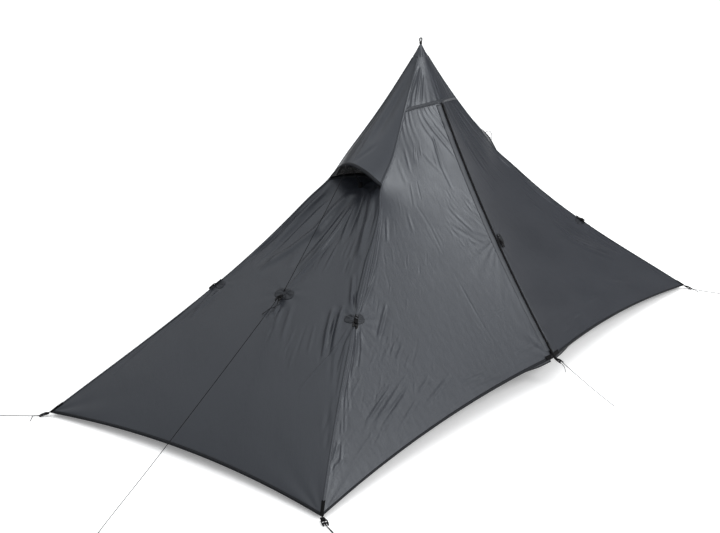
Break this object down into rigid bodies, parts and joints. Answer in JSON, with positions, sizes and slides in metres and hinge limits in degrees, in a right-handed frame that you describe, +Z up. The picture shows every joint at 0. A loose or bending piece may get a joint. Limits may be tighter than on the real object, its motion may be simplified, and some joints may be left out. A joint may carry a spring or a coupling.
{
  "type": "pyramid shelter",
  "caption": "Pyramid shelter on one centre pole, with a zipped door on one long side, a hooded vent over each end, line locks and guylines.",
  "frame": {"origin": "foot of the centre pole, on the ground", "axes": "+Z up along the pole, X along the long side, the door side faces -Y and the guyed end faces -X"},
  "size_m": [3.3424, 1.774, 1.2584],
  "materials": {
    "canopy_fabric": "coated ripstop nylon, satin",
    "vent_mesh": "fine black mosquito netting",
    "zip_tape": "woven tape with coil zip",
    "moulded_plastic": "moulded black acetal",
    "webbing": "black nylon webbing",
    "zip_metal": "black painted die casting",
    "pole_tube": "anodised tube",
    "foot_rubber": "moulded rubber",
    "guyline_cord": "braided black cord",
    "grey_cord": "braided grey cord"
  },
  "bodies": {
    "canopy": {"front_peak_panel": "canopy_fabric", "rear_peak_panel": "canopy_fabric", "left_hood": "canopy_fabric", "right_hood": "canopy_fabric", "front_left_panel": "canopy_fabric", "front_right_panel": "canopy_fabric", "rear_left_panel": "canopy_fabric", "rear_right_panel": "canopy_fabric", "left_end_panel": "canopy_fabric", "right_end_panel": "canopy_fabric", "peak_cap": "canopy_fabric", "left_vent_mesh": "vent_mesh", "right_vent_mesh": "vent_mesh", "zip_tape_right": "zip_tape", "door_ring": "moulded_plastic", "pole_clamp": "moulded_plastic", "door_stake_lock": "moulded_plastic", "left_end_lock": "moulded_plastic", "rear_left_corner_lock": "moulded_plastic", "front_left_corner_lock": "moulded_plastic", "front_right_corner_lock": "moulded_plastic", "door_stake_tab": "webbing", "left_end_tab": "webbing", "door_side_tab": "webbing", "rear_left_corner_tab": "webbing", "front_left_corner_tab": "webbing", "front_right_corner_tab": "webbing", "rear_right_corner_tab": "webbing", "rear_left_ridge_tab": "webbing", "front_left_ridge_tab": "webbing", "front_right_ridge_tab": "webbing", "rear_right_ridge_tab": "webbing", "pole_upper_tube": "pole_tube", "peak_loop": "guyline_cord", "rear_left_guyline": "guyline_cord", "front_left_guyline": "guyline_cord", "front_right_guyline": "guyline_cord", "door_guyline": "guyline_cord", "hood_line": "guyline_cord", "left_end_guyline": "guyline_cord", "right_hood_loop": "grey_cord"},
    "door": {"door_panel": "canopy_fabric", "storm_flap": "canopy_fabric", "zip_tape_left": "zip_tape", "door_hook": "moulded_plastic"},
    "upper_slider": {"upper_zip_slider": "zip_metal"},
    "upper_pull": {"upper_zip_pull": "moulded_plastic"},
    "lower_slider": {"lower_zip_slider": "zip_metal"},
    "lower_pull": {"lower_zip_pull": "moulded_plastic"},
    "pole_lower": {"pole_lower_tube": "pole_tube", "pole_foot": "foot_rubber"},
    "clamp_lever": {"pole_clamp_lever": "moulded_plastic"},
    "left_strut": {"left_hood_strut": "moulded_plastic"},
    "right_strut": {"right_hood_strut": "moulded_plastic"},
    "side_lock": {"door_side_lock": "moulded_plastic"},
    "rear_right_lock": {"rear_right_corner_lock": "moulded_plastic"},
    "rear_left_ridge_lock": {"rear_left_ridge_lock": "moulded_plastic"},
    "front_left_ridge_lock": {"front_left_ridge_lock": "moulded_plastic"},
    "front_right_ridge_lock": {"front_right_ridge_lock": "moulded_plastic"},
    "rear_right_ridge_lock": {"rear_right_ridge_lock": "moulded_plastic"}
  },
  "joints": [
    {"name": "door_hinge", "type": "hinge", "parent": "canopy", "child": "door", "pos_m": [-0.0308, -0.09278, 1.01929], "axis": [-0.6738, -0.3401, -0.6559], "range_deg": [0, 110]},
    {"name": "upper_slider_travel", "type": "hinge", "parent": "canopy", "child": "upper_slider", "pos_m": [0, -5.36362, 3.53738], "axis": [-1, 0, 0], "range_deg": [0, 4.4]},
    {"name": "upper_pull_hinge", "type": "hinge", "parent": "upper_slider", "child": "upper_pull", "pos_m": [0.005, -0.10916, 1.00703], "axis": [-1, 0, 0], "range_deg": [0, 100]},
    {"name": "lower_slider_travel", "type": "hinge", "parent": "canopy", "child": "lower_slider", "pos_m": [0, -5.36362, 3.53738], "axis": [1, 0, 0], "range_deg": [0, 4.4]},
    {"name": "lower_pull_hinge", "type": "hinge", "parent": "lower_slider", "child": "lower_pull", "pos_m": [0.005, -0.61922, 0.14582], "axis": [-1, 0, 0], "range_deg": [0, 100]},
    {"name": "pole_slide", "type": "slide", "parent": "canopy", "child": "pole_lower", "axis": [0, 0, 1], "range_m": [0, 0.4]},
    {"name": "clamp_lever_hinge", "type": "hinge", "parent": "canopy", "child": "clamp_lever", "pos_m": [0.018, 0, 0.5225], "axis": [0, 0, 1], "range_deg": [0, 110]},
    {"name": "left_strut_hinge", "type": "hinge", "parent": "canopy", "child": "left_strut", "pos_m": [-0.381, 0, 0.7455], "axis": [0, -1, 0], "range_deg": [0, 70]},
    {"name": "right_strut_hinge", "type": "hinge", "parent": "canopy", "child": "right_strut", "pos_m": [0.381, 0, 0.7455], "axis": [0, 1, 0], "range_deg": [0, 70]},
    {"name": "side_lock_hinge", "type": "hinge", "parent": "canopy", "child": "side_lock", "pos_m": [0.02568, -0.38454, 0.50043], "axis": [-0.9776, -0.1795, 0.1101], "range_deg": [0, 100]},
    {"name": "rear_right_lock_hinge", "type": "hinge", "parent": "canopy", "child": "rear_right_lock", "pos_m": [1.41109, 0.6261, 0.00939], "axis": [0.7507, -0.6606, 0], "range_deg": [0, 100]},
    {"name": "rear_left_ridge_lock_hinge", "type": "hinge", "parent": "canopy", "child": "rear_left_ridge_lock", "pos_m": [-0.84624, 0.32585, 0.40703], "axis": [0.641, 0.5699, -0.5141], "range_deg": [0, 100]},
    {"name": "front_left_ridge_lock_hinge", "type": "hinge", "parent": "canopy", "child": "front_left_ridge_lock", "pos_m": [-0.84624, -0.32585, 0.40703], "axis": [-0.641, 0.5699, 0.5141], "range_deg": [0, 100]},
    {"name": "front_right_ridge_lock_hinge", "type": "hinge", "parent": "canopy", "child": "front_right_ridge_lock", "pos_m": [0.84624, -0.32585, 0.40703], "axis": [-0.641, -0.5699, -0.5141], "range_deg": [0, 100]},
    {"name": "rear_right_ridge_lock_hinge", "type": "hinge", "parent": "canopy", "child": "rear_right_ridge_lock", "pos_m": [0.84624, 0.32585, 0.40703], "axis": [0.641, -0.5699, 0.5141], "range_deg": [0, 100]}
  ]
}
